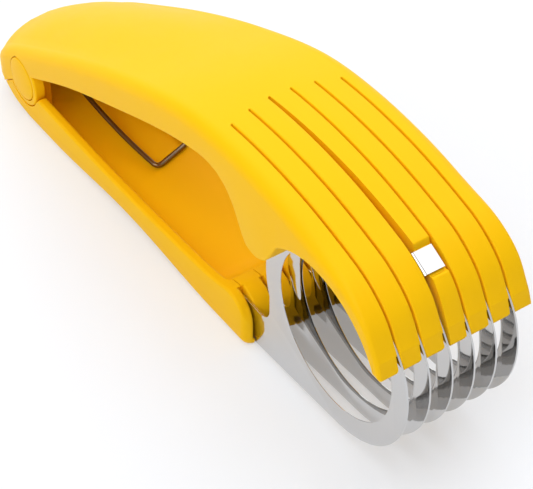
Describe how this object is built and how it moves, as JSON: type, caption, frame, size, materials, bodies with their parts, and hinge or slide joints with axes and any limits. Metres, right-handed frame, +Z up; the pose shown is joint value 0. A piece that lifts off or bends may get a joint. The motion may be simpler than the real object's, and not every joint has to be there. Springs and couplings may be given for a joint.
{
  "type": "banana slicer",
  "caption": "Hand-held fruit slicer: slotted upper grip hinged to a trough-shaped lower grip that carries parallel ring blades; squeezing pushes a banana through the rings.",
  "frame": {"origin": "middle of the bottom of the box round the whole slicer, on the table", "axes": "+X from the hinge towards the ring blades, +Y across the handles, +Z up from the table"},
  "size_m": [0.2008, 0.0448, 0.0671],
  "materials": {
    "yellow_plastic": "satin moulded",
    "blade_steel": "polished",
    "spring_wire": "bright drawn wire"
  },
  "bodies": {
    "lower": {"lower_handle": "yellow_plastic", "ring_blade_1": "blade_steel", "ring_blade_2": "blade_steel", "ring_blade_3": "blade_steel", "ring_blade_4": "blade_steel", "ring_blade_5": "blade_steel", "ring_blade_6": "blade_steel", "blade_rod": "blade_steel", "return_spring": "spring_wire"},
    "upper": {"upper_handle": "yellow_plastic", "hinge_pin": "blade_steel", "hinge_cap_near": "yellow_plastic", "hinge_cap_far": "yellow_plastic"}
  },
  "joints": [
    {"name": "handle_squeeze", "type": "hinge", "parent": "lower", "child": "upper", "pos_m": [-0.07356, 0, 0.0145], "axis": [0, 1, 0], "range_deg": [0, 21], "stiffness_Nm_per_rad": 0.25, "springref_deg": -28.65, "deforming": ["return_spring"]}
  ]
}
